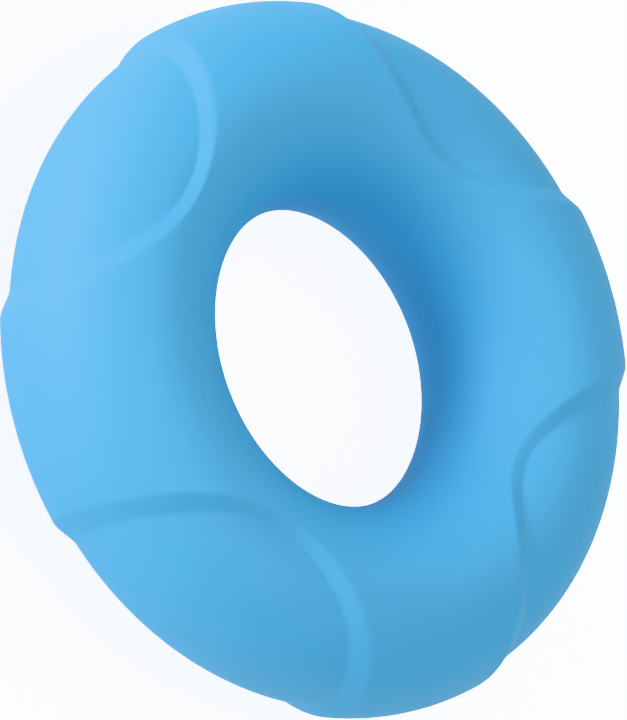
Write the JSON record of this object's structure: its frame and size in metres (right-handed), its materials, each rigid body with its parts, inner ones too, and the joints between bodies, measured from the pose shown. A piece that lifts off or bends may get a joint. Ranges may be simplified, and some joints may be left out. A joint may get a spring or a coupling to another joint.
{
  "type": "squeeze ring",
  "caption": "Soft round squeeze ring with an open middle and shallow finger hollows round its outside, each with a pad that presses in.",
  "frame": {"origin": "centre of the ring, halfway up its thickness", "axes": "+Z along the ring's axis, with the ring lying flat; the plain stretches between the finger hollows point along X and Y, and the hollows lie at 45 degrees between them"},
  "size_m": [0.07, 0.07, 0.0202],
  "materials": {
    "skin_silicone": "light blue satin silicone",
    "pad_silicone": "light blue satin silicone, as the skin",
    "core_gel": "soft matte gel rubber, out of sight"
  },
  "bodies": {
    "ring": {"ring_skin": "skin_silicone", "core_ring": "core_gel"},
    "pad_front_right": {"finger_pad_front_right": "pad_silicone"},
    "pad_back_right": {"finger_pad_back_right": "pad_silicone"},
    "pad_back_left": {"finger_pad_back_left": "pad_silicone"},
    "pad_front_left": {"finger_pad_front_left": "pad_silicone"}
  },
  "joints": [
    {"name": "press_front_right", "type": "slide", "parent": "ring", "child": "pad_front_right", "axis": [-0.7071, 0.7071, 0], "range_m": [0, 0.0025], "stiffness_N_per_m": 8000, "deforming": ["ring_skin", "core_ring"]},
    {"name": "press_back_right", "type": "slide", "parent": "ring", "child": "pad_back_right", "axis": [-0.7071, -0.7071, 0], "range_m": [0, 0.0025], "stiffness_N_per_m": 8000, "deforming": ["ring_skin", "core_ring"]},
    {"name": "press_back_left", "type": "slide", "parent": "ring", "child": "pad_back_left", "axis": [0.7071, -0.7071, 0], "range_m": [0, 0.0025], "stiffness_N_per_m": 8000, "deforming": ["ring_skin", "core_ring"]},
    {"name": "press_front_left", "type": "slide", "parent": "ring", "child": "pad_front_left", "axis": [0.7071, 0.7071, 0], "range_m": [0, 0.0025], "stiffness_N_per_m": 8000, "deforming": ["ring_skin", "core_ring"]}
  ]
}
